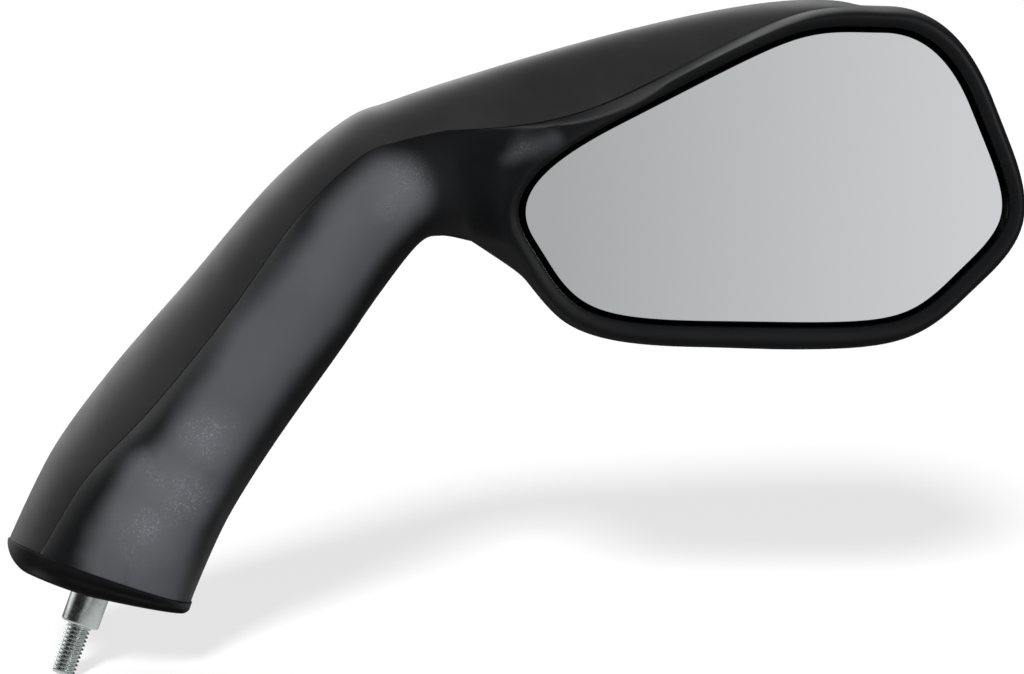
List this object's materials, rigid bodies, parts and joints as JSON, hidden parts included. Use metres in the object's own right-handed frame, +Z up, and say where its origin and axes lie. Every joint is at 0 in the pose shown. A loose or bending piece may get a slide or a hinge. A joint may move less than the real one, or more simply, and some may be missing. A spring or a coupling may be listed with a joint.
{
  "type": "motorcycle mirror",
  "caption": "Fairing mirror with a bent hollow arm, a six-sided head, a tilting convex glass and a threaded folding stud under a wedge foot.",
  "frame": {"origin": "on the stud axis, at the collar shoulder where the mounting thread starts", "axes": "+Z up as fitted, +X outboard along the head, -Y towards the rider, where the glass faces"},
  "size_m": [0.2405, 0.0575, 0.1592],
  "materials": {
    "black_shell": "fine matt grain",
    "black_shell_smooth": "smooth satin",
    "black_moulding": "plain moulded",
    "black_screws": "black oxide",
    "foot_rubber": "matt",
    "zinc_steel": "zinc plated",
    "spring_steel": "oiled",
    "cast_alloy": "as cast",
    "natural_nylon": "natural nylon",
    "pad_foam": "foam tape",
    "mirror_silver": "silvered convex glass"
  },
  "bodies": {
    "mount": {"base_foot": "foot_rubber", "pivot_stud": "zinc_steel", "friction_washer": "natural_nylon", "lower_washer": "zinc_steel", "pivot_spring": "spring_steel", "upper_washer": "zinc_steel", "lock_nut": "zinc_steel"},
    "arm": {"pivot_plate": "cast_alloy", "plate_screws": "zinc_steel", "front_shell": "black_shell", "rear_shell": "black_shell_smooth", "shell_screws": "black_screws", "ball_bracket": "black_moulding", "bracket_screws": "zinc_steel", "ball_pin": "zinc_steel"},
    "glass_swivel": {"ball_liner": "natural_nylon"},
    "glass": {"mirror_carrier": "black_moulding", "socket_ring": "spring_steel", "adhesive_pad": "pad_foam", "mirror_glass": "mirror_silver"}
  },
  "joints": [
    {"name": "arm_fold", "type": "hinge", "parent": "mount", "child": "arm", "pos_m": [0.00402, 0.00239, 0.01105], "axis": [0.3352, 0.1994, 0.9208], "range_deg": [-60, 60]},
    {"name": "mirror_pan", "type": "hinge", "parent": "arm", "child": "glass_swivel", "pos_m": [0.16201, 0.01713, 0.10594], "axis": [0, 0, 1], "range_deg": [-7, 7]},
    {"name": "mirror_tilt", "type": "hinge", "parent": "glass_swivel", "child": "glass", "pos_m": [0.16201, 0.01713, 0.10594], "axis": [1, 0, 0], "range_deg": [-6, 6]}
  ]
}
